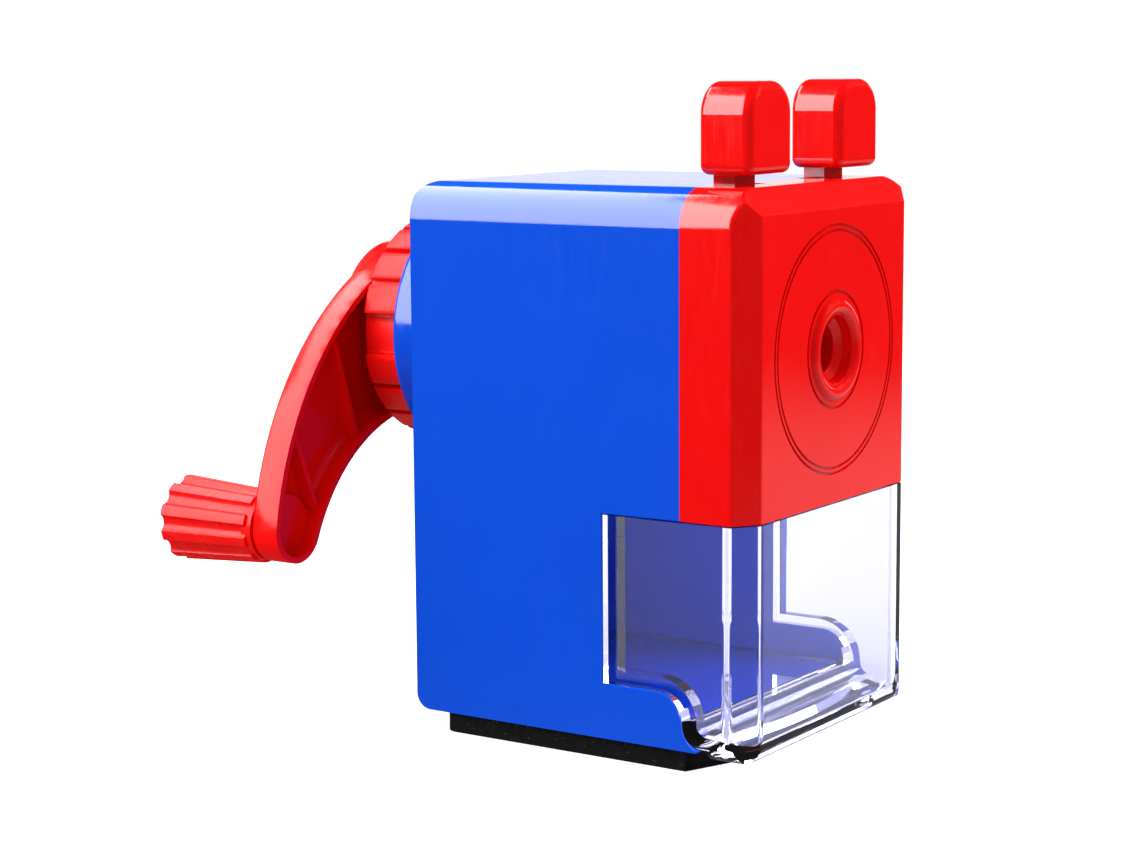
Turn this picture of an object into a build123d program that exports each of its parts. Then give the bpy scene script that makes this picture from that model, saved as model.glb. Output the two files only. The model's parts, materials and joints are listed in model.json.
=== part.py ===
from build123d import *
import math
import os

# Crank pencil sharpener with a sprung pull-out clamp front and a clear chip drawer.
# Millimetres. X is the width, -Y the pencil side, +Y the crank side, +Z up.
# The origin is on the table, under the middle of the housing.

# ---- driving dimensions ----
WIDTH = 63.8
HALF = WIDTH / 2
DEPTH = 72.4                    # clamp front and housing together
PAD_THICK = 4.0
HOUSING_HEIGHT = 100.0
AXIS_Z = 73.7                   # the pencil and the crank turn about this height
WALL = 2.2
SEAM = 0.3                      # gap between moving casings

FRONT_Y = -DEPTH / 2
REAR_Y = DEPTH / 2
FLOOR_Z = PAD_THICK
TOP_Z = FLOOR_Z + HOUSING_HEIGHT
INNER_HALF = HALF - WALL
INNER_REAR_Y = REAR_Y - WALL
INNER_TOP_Z = TOP_Z - WALL

# casing shape
COVER_DEPTH = 13.9
COVER_REAR_Y = FRONT_Y + COVER_DEPTH
SHOULDER_R = 7.0                # round along the top side edges
REAR_ROUND_R = 3.0
SIDE_CHAMFER_X = 4.7
SIDE_CHAMFER_Y = 3.5
TOP_CHAMFER_Z = 4.6
TOP_CHAMFER_Y = 3.6

# drawer bay in the lower front of the housing
BAY_TOP_Z = FLOOR_Z + 41.6
BAY_REAR_Y = FRONT_Y + 30.3
BAY_LEDGE_Z = FLOOR_Z + 10.1
TOE_ROUND_R = 5.3
TOE_FLARE_R = 4.8
TOE_ROUND_Y = FRONT_Y + 19.0
TOE_ROUND_Z = BAY_LEDGE_Z - TOE_ROUND_R
TOE_FLARE_Y = TOE_ROUND_Y - TOE_ROUND_R - TOE_FLARE_R
TOE_END_ANGLE = -70.0
DRAWER_WALL = 2.2
DRAWER_REAR_Y = 31.0
DRAWER_LIP_Z = 2.3              # the drawer's front hangs below the housing, before the pad

# rear boss, bayonet and retaining ring
BOSS_R = 25.0
BOSS_REAR_Y = REAR_Y + 10.3
BOSS_BORE_R = 19.3
LUG_GROOVE_R = 21.1
LUG_R = 20.8
LUG_COUNT = 3
RING_R = 21.6
RING_PAD_DROP = 1.45
RING_PADS = 19
RING_FRONT_Y = BOSS_REAR_Y + SEAM
RING_REAR_Y = FRONT_Y + 92.6

# crank
ARM_FRONT_Y = RING_REAR_Y + 0.4
ARM_REAR_Y = ARM_FRONT_Y + 6.2
ARM_WALL = 1.9
ARM_RIM = 1.2
HUB_REAR_Y = ARM_REAR_Y + 3.0
HUB_R = 16.5
TIP_R = 6.5
TIP_X = -41.3
TIP_Z = FLOOR_Z + 33.9
OUTER_EDGE_R = 63.0
INNER_EDGE_R = 36.0
SHAFT_R = 5.0
SQUARE = 7.0
GRIP_FRONT_Y = ARM_REAR_Y + 0.4
GRIP_REAR_Y = FRONT_Y + 120.8
GRIP_R = 8.3
GRIP_ARM_R = 7.1
GRIP_RIDGES = 10
GRIP_PIN_R = 2.2

# pencil point and cutter; the cutter's axis meets the crank's axis at the gear apex
POINT_ANGLE = 11.0              # half the angle of the sharpened point
POINT_Y = 36.5
CUTTER_R = 6.0
CUTTER_TEETH = 18
CUTTER_TWIST = 130.0
APEX_Y = POINT_Y + CUTTER_R / math.sin(math.radians(POINT_ANGLE))
RING_TEETH = 26
PINION_TEETH = 12
AXLE_R = 1.5
COLLAR_R = 7.5
PENCIL_HOLE_R = 4.6

# clamp front
ROD_R = 2.0
ROD_X = 24.5
ROD_REAR_Y = 33.0
CLIP_Y = 31.2
GUIDE_FRONT_Y = -17.0
GUIDE_REAR_Y = -14.0
PLATE_FRONT_Y = -22.1
PLATE_REAR_Y = -19.6
PIVOT_X = 16.6
PIVOT_Z = 92.0
PIVOT_PIN_R = 1.5
LEVER_FRONT_Y = -26.6
LEVER_REAR_Y = -22.3
KNOB_FRONT_Y = FRONT_Y + 4.1
KNOB_REAR_Y = -21.4
KNOB_WIDTH = 15.4
KNOB_TOP_ROUND_R = 5.8
KNOB_EDGE_R = 1.6
KNOB_BOTTOM_Z = FLOOR_Z + 102.0
KNOB_TOP_Z = FLOOR_Z + 118.3
STEM_WIDTH = 7.2
JAW_FRONT_Y = -30.0
SCREW_FIT = 0.02
RUN_FIT = 0.05


# ---- helpers ----
def outline(*points):
    return make_face(Polyline(*points, close=True))


def along_x(sketch, x0, x1):
    """Extrude a sketch drawn in (y, z) from x0 to x1."""
    return extrude(Plane((x0, 0, 0), x_dir=(0, 1, 0), z_dir=(1, 0, 0)) * sketch, x1 - x0)


def along_y(sketch, y0, y1):
    """Extrude a sketch drawn in (x, z) from y0 to y1."""
    return extrude(Plane((0, y1, 0), x_dir=(1, 0, 0), z_dir=(0, -1, 0)) * sketch, y1 - y0)


def along_z(sketch, z0, z1):
    return extrude(Pos(0, 0, z0) * sketch, z1 - z0)


def block(x0, x1, y0, y1, z0, z1):
    centre = Pos((x0 + x1) / 2, (y0 + y1) / 2, (z0 + z1) / 2)
    return centre * Box(x1 - x0, y1 - y0, z1 - z0)


def round_bar(x, z, radius, y0, y1):
    """A cylinder lying along Y."""
    return along_y(Pos(x, z) * Circle(radius), y0, y1)


def tube(x, z, outer_r, inner_r, y0, y1):
    return along_y(Pos(x, z) * (Circle(outer_r) - Circle(inner_r)), y0, y1)


def on_axis(profile):
    """Revolve a closed profile of (radius, y) points about the pencil's axis."""
    face = outline(*profile)
    turned = revolve(face, Axis.Y)
    return Pos(0, 0, AXIS_Z) * turned


def sector(radius, angle, width):
    """A pie slice in the plane, centred on angle, wide enough to reach past radius."""
    half = math.radians(width / 2)
    middle = math.radians(angle)
    reach = radius / math.cos(half)
    first = (reach * math.cos(middle - half), reach * math.sin(middle - half))
    second = (reach * math.cos(middle + half), reach * math.sin(middle + half))
    return outline((0, 0), first, second)


def screw(x, z, radius, head_r, head_h, y_head, y_tip):
    """A pan-head screw along Y; its head starts at y_head and its tip is at y_tip."""
    way = 1 if y_tip > y_head else -1
    seat = y_head + way * head_h
    head = round_bar(x, z, head_r, min(y_head, seat), max(y_head, seat))
    shank = round_bar(x, z, radius, min(seat, y_tip), max(seat, y_tip))
    slot = block(x - 0.4, x + 0.4, y_head - 0.6, y_head + 0.6, z - head_r, z + head_r)
    return head + shank - slot


def coil(axis_start, axis_dir, mean_r, wire_r, length, turns):
    """A round-wire coil spring from axis_start along axis_dir."""
    plane = Plane(axis_start, z_dir=axis_dir)
    path = plane * Helix(pitch=length / turns, height=length, radius=mean_r)
    section = Plane(path @ 0, z_dir=path % 0) * Circle(wire_r)
    return sweep(section, path, is_frenet=True)


def mirrored(solid):
    return mirror(solid, about=Plane.YZ)


def group(*solids):
    return Compound(children=list(solids))


# ---- casing outlines ----
def toe_edges(gap):
    """The S-shaped edge between the drawer and the housing's toe, gap outside the toe."""
    big = TOE_ROUND_R + gap
    small = TOE_FLARE_R - gap
    top = (TOE_ROUND_Y, TOE_ROUND_Z + big)
    middle = (TOE_ROUND_Y - big, TOE_ROUND_Z)
    mid_round = math.radians(135)
    on_round = (TOE_ROUND_Y + big * math.cos(mid_round), TOE_ROUND_Z + big * math.sin(mid_round))
    end_angle = math.radians(TOE_END_ANGLE if gap == 0 else -90)
    on_flare = (TOE_FLARE_Y + small * math.cos(end_angle / 2),
                TOE_ROUND_Z + small * math.sin(end_angle / 2))
    end = (TOE_FLARE_Y + small * math.cos(end_angle), TOE_ROUND_Z + small * math.sin(end_angle))
    edges = [ThreePointArc(top, on_round, middle), ThreePointArc(middle, on_flare, end)]
    return edges, top, end


def shoulder_outline(half, bottom, top, radius):
    """Width by height outline with round top shoulders, in (x, z)."""
    box = Pos(0, (bottom + top) / 2) * Rectangle(2 * half, top - bottom)
    upper = box.vertices().sort_by(Axis.Y)[-2:]
    return fillet(upper, radius)


def chamfered_plan(half, front, rear, cut_x, cut_y):
    """Plan outline with the two front corners cut off, in (x, y)."""
    return outline((-half, rear), (half, rear), (half, front + cut_y),
                   (half - cut_x, front), (cut_x - half, front), (-half, front + cut_y))


# ---- housing body ----
def housing_side():
    toe, ledge_point, toe_point = toe_edges(0)
    bend = REAR_ROUND_R * (1 - math.sqrt(0.5))
    edges = [
        Line((COVER_REAR_Y, BAY_TOP_Z), (COVER_REAR_Y, TOP_Z)),
        Line((COVER_REAR_Y, TOP_Z), (REAR_Y - REAR_ROUND_R, TOP_Z)),
        ThreePointArc((REAR_Y - REAR_ROUND_R, TOP_Z), (REAR_Y - bend, TOP_Z - bend),
                      (REAR_Y, TOP_Z - REAR_ROUND_R)),
        Line((REAR_Y, TOP_Z - REAR_ROUND_R), (REAR_Y, FLOOR_Z + REAR_ROUND_R)),
        ThreePointArc((REAR_Y, FLOOR_Z + REAR_ROUND_R), (REAR_Y - bend, FLOOR_Z + bend),
                      (REAR_Y - REAR_ROUND_R, FLOOR_Z)),
        Line((REAR_Y - REAR_ROUND_R, FLOOR_Z), (toe_point[0], FLOOR_Z)),
        Line((toe_point[0], FLOOR_Z), toe_point),
        *toe,
        Line(ledge_point, (BAY_REAR_Y, BAY_LEDGE_Z)),
        Line((BAY_REAR_Y, BAY_LEDGE_Z), (BAY_REAR_Y, BAY_TOP_Z)),
        Line((BAY_REAR_Y, BAY_TOP_Z), (COVER_REAR_Y, BAY_TOP_Z)),
    ]
    return make_face(edges)


BASE_PLATE_REAR_Y = 25.7
BASE_PLATE_TOP_Z = FLOOR_Z + 2.5
POST_R = 3.2
BEARING_POSTS = [(x, z) for x in (-15, 15) for z in (51.5, 97)]
GUIDE_POSTS = [(x, z) for x in (-26.4, 26.4) for z in (50.5, 96.5)]
SCREW_R = 1.25
TAB_Y = (-14.0, 14.0)


def main_housing():
    outer = along_x(housing_side(), -HALF, HALF)
    outer &= along_y(shoulder_outline(HALF, 0, TOP_Z, SHOULDER_R), FRONT_Y, REAR_Y)
    floor_in = BASE_PLATE_TOP_Z + 0.1
    corner = REAR_ROUND_R - WALL
    cavity_side = outline((FRONT_Y, 0), (BASE_PLATE_REAR_Y + 0.3, 0),
                          (BASE_PLATE_REAR_Y + 0.3, floor_in), (INNER_REAR_Y, floor_in),
                          (INNER_REAR_Y, INNER_TOP_Z), (FRONT_Y, INNER_TOP_Z))
    rear_corners = cavity_side.vertices().filter_by(lambda v: abs(v.X - INNER_REAR_Y) < 0.01)
    cavity_side = fillet(rear_corners, corner)
    cavity = along_x(cavity_side, -INNER_HALF, INNER_HALF)
    cavity &= along_y(shoulder_outline(INNER_HALF, -1, INNER_TOP_Z, SHOULDER_R - WALL),
                      FRONT_Y, REAR_Y)
    shell = outer - cavity
    boss = round_bar(0, AXIS_Z, BOSS_R, INNER_REAR_Y, BOSS_REAR_Y)
    boss = fillet(boss.edges().sort_by(Axis.Y)[-1], 1.2)
    shell += boss
    for x, z in BEARING_POSTS:
        shell += round_bar(x, z, POST_R, BEARING_REAR_Y, INNER_REAR_Y + 0.5)
    for x, z in GUIDE_POSTS:
        side = math.copysign(1, x)
        wall_x = side * (INNER_HALF + 0.5)
        post = round_bar(x, z, POST_R, GUIDE_REAR_Y, -4)
        rib = block(min(x, wall_x), max(x, wall_x), GUIDE_REAR_Y, -4, z - 1.6, z + 1.6)
        shell += post + rib
    shell -= round_bar(0, AXIS_Z, BOSS_BORE_R, INNER_REAR_Y - 1, BOSS_REAR_Y + 1)
    shell -= round_bar(0, AXIS_Z, LUG_GROOVE_R, 42.7, 45.3)
    for i in range(LUG_COUNT):
        notch = sector(LUG_GROOVE_R, 90 + i * 360 / LUG_COUNT, 40) & Circle(LUG_GROOVE_R - 0.1)
        shell -= along_y(Pos(0, AXIS_Z) * notch, 44, BOSS_REAR_Y + 1)
    for x, z in BEARING_POSTS:
        shell -= round_bar(x, z, SCREW_R + SCREW_FIT, BEARING_REAR_Y - 1, BEARING_REAR_Y + 9)
    for x, z in GUIDE_POSTS:
        shell -= round_bar(x, z, SCREW_R + SCREW_FIT, GUIDE_REAR_Y - 1, GUIDE_REAR_Y + 8)
    for y in TAB_Y:
        shell -= block(-INNER_HALF - 1.3, INNER_HALF + 1.3, y - 4.1, y + 4.1, 4.7, 6.1)
    return shell


def base_plate():
    plate = block(-INNER_HALF + 0.2, INNER_HALF - 0.2, -21.5, BASE_PLATE_REAR_Y,
                  FLOOR_Z, BASE_PLATE_TOP_Z)
    for y in TAB_Y:
        plate += block(-INNER_HALF - 1.1, INNER_HALF + 1.1, y - 4, y + 4, 4.8, 6.0)
    return plate


def pad_outline():
    half = 30.7
    front = ThreePointArc((-21.5, -26.6), (0, -28.0), (21.5, -26.6))
    sides = Polyline((21.5, -26.6), (half, -22.8), (half, 31.0), (-half, 31.0),
                     (-half, -22.8), (-21.5, -26.6))
    return make_face([front, *sides.edges()])


def base_pad():
    pad = along_z(pad_outline(), 0, PAD_THICK)
    uprights = pad.edges().filter_by(Axis.Z)
    return fillet(uprights.sort_by(Axis.Y)[-2:], 3.0)


BEARING_FRONT_Y = 9.0
BEARING_REAR_Y = 12.0
BUSH_OUTER_R = 9.0


def guide_plate():
    """Front wall of the mechanism; guides the clamp rods and the pencil."""
    plate = along_y(shoulder_outline(INNER_HALF - 0.4, BAY_TOP_Z + 0.8, INNER_TOP_Z - 0.4, 4.6),
                    GUIDE_FRONT_Y, GUIDE_REAR_Y)
    plate += round_bar(0, AXIS_Z, 7.2, GUIDE_REAR_Y, 4.0)
    funnel = [(0, -18), (8.5, -18), (8.0, GUIDE_FRONT_Y), (PENCIL_HOLE_R + 0.3, -12),
              (PENCIL_HOLE_R + 0.3, 5), (0, 5)]
    plate -= on_axis(funnel)
    for x in (-ROD_X, ROD_X):
        plate -= round_bar(x, AXIS_Z, 4.0, GUIDE_FRONT_Y - 1, GUIDE_REAR_Y + 1)
    for x, z in GUIDE_POSTS:
        plate -= round_bar(x, z, SCREW_R + 0.2, GUIDE_FRONT_Y - 1, GUIDE_REAR_Y + 1)
    return plate


def guide_plate_screws():
    head_y = GUIDE_FRONT_Y - 1.5
    return group(*[screw(x, z, SCREW_R, 2.4, 1.5, head_y, GUIDE_REAR_Y + 7)
                   for x, z in GUIDE_POSTS])


def rod_bushes():
    bushes = []
    for x in (-ROD_X, ROD_X):
        flange = tube(x, AXIS_Z, 5.0, ROD_R + RUN_FIT, GUIDE_FRONT_Y - 1, GUIDE_FRONT_Y)
        barrel = tube(x, AXIS_Z, 4.0, ROD_R + RUN_FIT, GUIDE_FRONT_Y, GUIDE_REAR_Y + 1)
        bushes.append(flange + barrel)
    return group(*bushes)


def bearing_plate():
    """Holds the front bearing of the cutter carrier."""
    plate = along_y(Pos(0, (47.5 + 100.5) / 2) * RectangleRounded(37.6, 53, 2.5),
                    BEARING_FRONT_Y, BEARING_REAR_Y)
    plate -= round_bar(0, AXIS_Z, BUSH_OUTER_R, BEARING_FRONT_Y - 1, BEARING_REAR_Y + 1)
    for x, z in BEARING_POSTS:
        plate -= round_bar(x, z, SCREW_R + 0.2, BEARING_FRONT_Y - 1, BEARING_REAR_Y + 1)
    return plate


def bearing_plate_screws():
    head_y = BEARING_FRONT_Y - 1.5
    return group(*[screw(x, z, SCREW_R, 2.4, 1.5, head_y, BEARING_REAR_Y + 8)
                   for x, z in BEARING_POSTS])


def front_bush():
    inner = COLLAR_R + RUN_FIT
    flange = tube(0, AXIS_Z, 10.5, inner, BEARING_FRONT_Y - 1, BEARING_FRONT_Y)
    return flange + tube(0, AXIS_Z, BUSH_OUTER_R, inner, BEARING_FRONT_Y, BEARING_REAR_Y)


# ---- bevel gears about the apex where the two axes meet ----
def pitch_angles():
    """Pitch cone half-angles of the ring gear and the pinion, in radians."""
    tilt = math.radians(POINT_ANGLE)
    ratio = RING_TEETH / PINION_TEETH
    cot_ring = (ratio * math.cos(tilt) - 1) / (ratio * math.sin(tilt))
    ring = math.atan(1 / cot_ring)
    return ring, ring - tilt


RING_GEAR_Y = 40.5
RING_GEAR_FRONT_Y = 38.6
RING_GEAR_REAR_Y = 42.4
RING_PITCH_R = (APEX_Y - RING_GEAR_Y) * math.tan(pitch_angles()[0])
PITCH_LENGTH = (APEX_Y - RING_GEAR_Y) / math.cos(pitch_angles()[0])
PINION_PITCH_R = PITCH_LENGTH * math.sin(pitch_angles()[1])
PINION_AT = PITCH_LENGTH * math.cos(pitch_angles()[1])
PINION_HALF_WIDTH = 1.5
MODULE = 2 * RING_PITCH_R / RING_TEETH
TOOTH_SHARE = 0.42              # part of the pitch taken by each tooth, for backlash


def gear_outline(teeth, pitch_r, outward, start, scale):
    """Straight-flanked teeth; outward is +1 for a pinion and -1 for a ring gear."""
    crest = (pitch_r + outward * 0.75 * MODULE) * scale
    root = (pitch_r - outward * 1.0 * MODULE) * scale
    pitch = 2 * math.pi / teeth
    crest_half = pitch * TOOTH_SHARE * 0.26
    root_half = pitch * TOOTH_SHARE * 0.80
    points = []
    for i in range(teeth):
        middle = math.radians(start) + i * pitch
        for radius, turn in ((root, -root_half), (crest, -crest_half),
                             (crest, crest_half), (root, root_half)):
            angle = middle + turn
            points.append((radius * math.cos(angle), radius * math.sin(angle)))
    return outline(*points)


def ring_gear():
    """Fixed internal gear; a tooth space faces straight up to the pinion."""
    blank = round_bar(0, AXIS_Z, BOSS_BORE_R - 0.02, RING_GEAR_FRONT_Y, RING_GEAR_REAR_Y)
    toward_front = Plane((0, APEX_Y, AXIS_Z), x_dir=(1, 0, 0), z_dir=(0, -1, 0))
    middle = APEX_Y - RING_GEAR_Y
    near = APEX_Y - RING_GEAR_REAR_Y - 0.5
    far = APEX_Y - RING_GEAR_FRONT_Y + 0.5
    start = 90 + 180 / RING_TEETH
    faces = [toward_front * Pos(0, 0, d)
             * gear_outline(RING_TEETH, RING_PITCH_R, -1, start, d / middle) for d in (near, far)]
    return blank - loft(faces, ruled=True)


CUTTER_PLANE = Plane((0, APEX_Y, AXIS_Z), x_dir=(1, 0, 0),
                     z_dir=(0, -math.cos(math.radians(POINT_ANGLE)),
                            math.sin(math.radians(POINT_ANGLE))))
PINION_HUB = 1.0                # length of the pinion's hub, towards the cutter
CUTTER_NEAR = PINION_AT + PINION_HALF_WIDTH + PINION_HUB
CUTTER_FAR = 53.0


def along_cutter(radius, near, far):
    return extrude(CUTTER_PLANE * Pos(0, 0, near) * Circle(radius), far - near)


def cutter_pinion():
    near = PINION_AT - PINION_HALF_WIDTH
    far = PINION_AT + PINION_HALF_WIDTH
    faces = [CUTTER_PLANE * Pos(0, 0, d)
             * gear_outline(PINION_TEETH, PINION_PITCH_R, 1, 90, d / PINION_AT)
             for d in (near, far)]
    pinion = loft(faces, ruled=True) + along_cutter(3.4, far, far + PINION_HUB)
    return pinion - along_cutter(AXLE_R + RUN_FIT, near - 1, far + PINION_HUB + 1)


def helical_cutter():
    steps = 10
    depth = 0.9
    faces = []
    for step in range(steps + 1):
        turn = math.radians(CUTTER_TWIST) * step / steps
        distance = CUTTER_NEAR + (CUTTER_FAR - CUTTER_NEAR) * step / steps
        points = []
        for i in range(CUTTER_TEETH):
            angle = turn + i * 2 * math.pi / CUTTER_TEETH
            lead = angle + 1.5 * math.pi / CUTTER_TEETH
            points.append((CUTTER_R * math.cos(angle), CUTTER_R * math.sin(angle)))
            points.append(((CUTTER_R - depth) * math.cos(lead), (CUTTER_R - depth) * math.sin(lead)))
        faces.append(CUTTER_PLANE * Pos(0, 0, distance) * outline(*points))
    body = loft(faces, ruled=True)
    return body - along_cutter(AXLE_R + RUN_FIT, CUTTER_NEAR - 1, CUTTER_FAR + 1)


def cutter_axle():
    return along_cutter(AXLE_R, 22.6, 55.8)


CARRIER_COLLAR_Y = 4.6
CARRIER_DISC_Y = 12.5
CARRIER_TROUGH_Y = 15.4
CARRIER_NECK_Y = 37.8
CARRIER_BACK_Y = 43.2
SHAFT_Y = 46.0
SQUARE_Y = 55.4
SQUARE_END_Y = 60.4


def cutter_carrier():
    """Casting that carries the cutter round the pencil point, with its shaft."""
    trough = round_bar(0, AXIS_Z, 9.5, CARRIER_TROUGH_Y - 0.5, CARRIER_NECK_Y)
    for side in (-1, 1):
        rail = (side * 7.0, side * 12.5)
        trough += block(min(rail), max(rail), CARRIER_TROUGH_Y - 0.5, CARRIER_NECK_Y,
                        AXIS_Z - 4, AXIS_Z + 3)
    trough -= block(-20, 20, 10, 40, AXIS_Z + 3, AXIS_Z + 20)
    neck = round_bar(0, AXIS_Z, 8.6, CARRIER_NECK_Y - 1, CARRIER_BACK_Y + 0.5)
    neck -= block(-20, 20, CARRIER_NECK_Y - 2, CARRIER_BACK_Y + 2, AXIS_Z - 0.9, AXIS_Z + 20)
    carrier = round_bar(0, AXIS_Z, COLLAR_R, CARRIER_COLLAR_Y, CARRIER_DISC_Y + 1)
    carrier += round_bar(0, AXIS_Z, 14.5, CARRIER_DISC_Y, CARRIER_TROUGH_Y)
    carrier += trough + neck
    carrier += round_bar(0, AXIS_Z, 8.6, CARRIER_BACK_Y, SHAFT_Y)
    carrier += round_bar(0, AXIS_Z, SHAFT_R, SHAFT_Y - 0.5, SQUARE_Y)
    carrier += along_y(Pos(0, AXIS_Z) * Rectangle(SQUARE, SQUARE), SQUARE_Y - 0.5, SQUARE_END_Y)
    slope = math.tan(math.radians(POINT_ANGLE))
    clear = 0.4
    cone_start = POINT_Y - PENCIL_HOLE_R / slope
    carrier -= on_axis([(0, 4), (PENCIL_HOLE_R, 4), (PENCIL_HOLE_R, cone_start),
                        (clear, POINT_Y), (0, POINT_Y + 1)])
    carrier -= along_cutter(CUTTER_R + 0.5, PINION_AT - PINION_HALF_WIDTH - 0.4, CUTTER_FAR + 0.3)
    carrier -= along_cutter(AXLE_R + SCREW_FIT, 22.4, 58)
    carrier -= round_bar(0, AXIS_Z, 1.5 + SCREW_FIT, 48, SQUARE_END_Y + 1)
    return carrier


# ---- retaining ring body ----
RING_WEB_Y = 46.8
RING_BACK_Y = 54.4


def retaining_ring():
    """Twist ring that locks the crank into the rear boss by three lugs."""
    grip = round_bar(0, AXIS_Z, RING_R, RING_FRONT_Y, RING_REAR_Y)
    edge = grip.edges().sort_by(Axis.Y)[-1]
    grip = chamfer(edge, 0.7)
    pitch = 360 / RING_PADS
    groove = Rectangle(2.6, 1.3)
    for i in range(RING_PADS):
        angle = 190.0 + i * pitch
        cut = Rot(0, 0, angle) * Pos(RING_R, 0) * groove
        grip -= along_y(Pos(0, AXIS_Z) * cut, RING_FRONT_Y - 1, RING_REAR_Y + 1)
    low_pad = sector(RING_R + 1, 190.0 - pitch / 2, pitch) - Circle(RING_R - RING_PAD_DROP)
    grip -= along_y(Pos(0, AXIS_Z) * low_pad, RING_FRONT_Y - 1, RING_REAR_Y + 1)
    hub = round_bar(0, AXIS_Z, BOSS_BORE_R - 0.3, 43.0, RING_FRONT_Y + 0.5)
    for i in range(LUG_COUNT):
        lug = sector(LUG_R, 30 + i * 360 / LUG_COUNT, 30) & Circle(LUG_R)
        hub += along_y(Pos(0, AXIS_Z) * lug, 43.0, 44.9)
    ring = grip + hub
    ring -= round_bar(0, AXIS_Z, 11.0, 42, RING_WEB_Y)
    ring -= round_bar(0, AXIS_Z, 7.0, RING_WEB_Y - 1, RING_BACK_Y + 1)
    ring -= round_bar(0, AXIS_Z, 17.0, RING_BACK_Y, RING_REAR_Y + 1)
    return ring


def shaft_bush():
    inner = SHAFT_R + RUN_FIT
    barrel = tube(0, AXIS_Z, 7.0, inner, RING_WEB_Y, RING_BACK_Y)
    return barrel + tube(0, AXIS_Z, 9.0, inner, RING_BACK_Y, RING_BACK_Y + 1.0)


# ---- crank body ----
def meeting_point(first, first_r, second, second_r, side):
    """Where circles about two points cross; side picks one of the two crossings."""
    dx = second[0] - first[0]
    dz = second[1] - first[1]
    span = math.hypot(dx, dz)
    along = (first_r ** 2 - second_r ** 2 + span ** 2) / (2 * span)
    across = side * math.sqrt(first_r ** 2 - along ** 2)
    return (first[0] + (along * dx - across * dz) / span,
            first[1] + (along * dz + across * dx) / span)


def toward(start, goal, distance):
    span = math.hypot(goal[0] - start[0], goal[1] - start[1])
    return (start[0] + (goal[0] - start[0]) * distance / span,
            start[1] + (goal[1] - start[1]) * distance / span)


def arm_outline(inset):
    """Comma-shaped arm of tangent arcs from the hub to the tip, drawn inset from its edge."""
    hub = (0, AXIS_Z)
    tip = (TIP_X, TIP_Z)
    hub_r = HUB_R - inset
    tip_r = TIP_R - inset
    outer_r = OUTER_EDGE_R - inset
    inner_r = INNER_EDGE_R + inset
    outer_c = meeting_point(hub, outer_r - hub_r, tip, outer_r - tip_r, 1)
    inner_c = meeting_point(hub, inner_r + hub_r, tip, inner_r + tip_r, 1)
    hub_top = toward(outer_c, hub, outer_r)
    tip_out = toward(outer_c, tip, outer_r)
    hub_low = toward(inner_c, hub, inner_r)
    tip_in = toward(inner_c, tip, inner_r)
    outer_mid = toward(outer_c, ((hub_top[0] + tip_out[0]) / 2, (hub_top[1] + tip_out[1]) / 2),
                       outer_r)
    inner_mid = toward(inner_c, ((hub_low[0] + tip_in[0]) / 2, (hub_low[1] + tip_in[1]) / 2),
                       inner_r)
    hub_far = toward(hub, (-tip[0], 2 * AXIS_Z - tip[1]), hub_r)
    tip_far = toward(tip, (2 * tip[0], 2 * tip[1] - AXIS_Z), tip_r)
    return make_face([ThreePointArc(hub_top, outer_mid, tip_out),
                      ThreePointArc(tip_out, tip_far, tip_in),
                      ThreePointArc(tip_in, inner_mid, hub_low),
                      ThreePointArc(hub_low, hub_far, hub_top)])


def bar_between(first, second, width):
    middle = Pos((first[0] + second[0]) / 2, (first[1] + second[1]) / 2)
    angle = math.degrees(math.atan2(second[1] - first[1], second[0] - first[0]))
    span = math.hypot(second[0] - first[0], second[1] - first[1])
    return middle * Rot(0, 0, angle) * Rectangle(span, width)


ARM_RIBS = [((-29.0, 76.4), (-20.4, 50.8)), ((-40.8, 57.4), (-33.0, 38.2))]
TIP_FLOOR_Y = ARM_REAR_Y - 3.1   # the channel is shallower over the grip's pin
PIN_HEAD_Y = ARM_REAR_Y - 2.3
PIN_HEAD_R = 3.6


def crank_arm():
    """Channel-shaped arm, open towards the housing, with ribs across the channel."""
    arm = along_y(arm_outline(0), ARM_FRONT_Y, ARM_REAR_Y)
    arm = fillet(arm.faces().sort_by(Axis.Y)[-1].edges(), 0.8)
    channel = along_y(arm_outline(ARM_RIM), ARM_FRONT_Y - 1, ARM_REAR_Y - ARM_WALL)
    channel = fillet(channel.faces().sort_by(Axis.Y)[-1].edges(), 1.6)
    channel -= round_bar(TIP_X, TIP_Z, TIP_R, TIP_FLOOR_Y, ARM_REAR_Y)
    arm -= channel
    for first, second in ARM_RIBS:
        rib = bar_between(first, second, 1.0) & arm_outline(ARM_RIM / 2)
        arm += along_y(rib, ARM_FRONT_Y + 1.2, ARM_REAR_Y - ARM_WALL / 2)
    boss = round_bar(0, AXIS_Z, HUB_R, ARM_REAR_Y - 1, HUB_REAR_Y)
    arm += fillet(boss.edges().sort_by(Axis.Y)[-1], 1.0)
    arm += round_bar(0, AXIS_Z, 9.0, RING_BACK_Y + 1.2, ARM_REAR_Y - 0.5)
    arm -= along_y(Pos(0, AXIS_Z) * Rectangle(SQUARE + 0.04, SQUARE + 0.04), 50, SQUARE_END_Y + 0.2)
    arm -= round_bar(0, AXIS_Z, 6.2, SQUARE_END_Y + 0.1, HUB_REAR_Y + 1)
    arm -= round_bar(TIP_X, TIP_Z, PIN_HEAD_R + SCREW_FIT, PIN_HEAD_Y - SCREW_FIT,
                     PIN_HEAD_Y + 1.0 + SCREW_FIT)
    arm -= round_bar(TIP_X, TIP_Z, GRIP_PIN_R + SCREW_FIT, PIN_HEAD_Y, ARM_REAR_Y + 1)
    return arm


def crank_washer():
    return tube(0, AXIS_Z, 5.8, 1.7, SQUARE_END_Y + 0.2, SQUARE_END_Y + 0.9)


def crank_screw():
    return screw(0, AXIS_Z, 1.5, 3.4, 1.7, SQUARE_END_Y + 2.6, 49)


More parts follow.
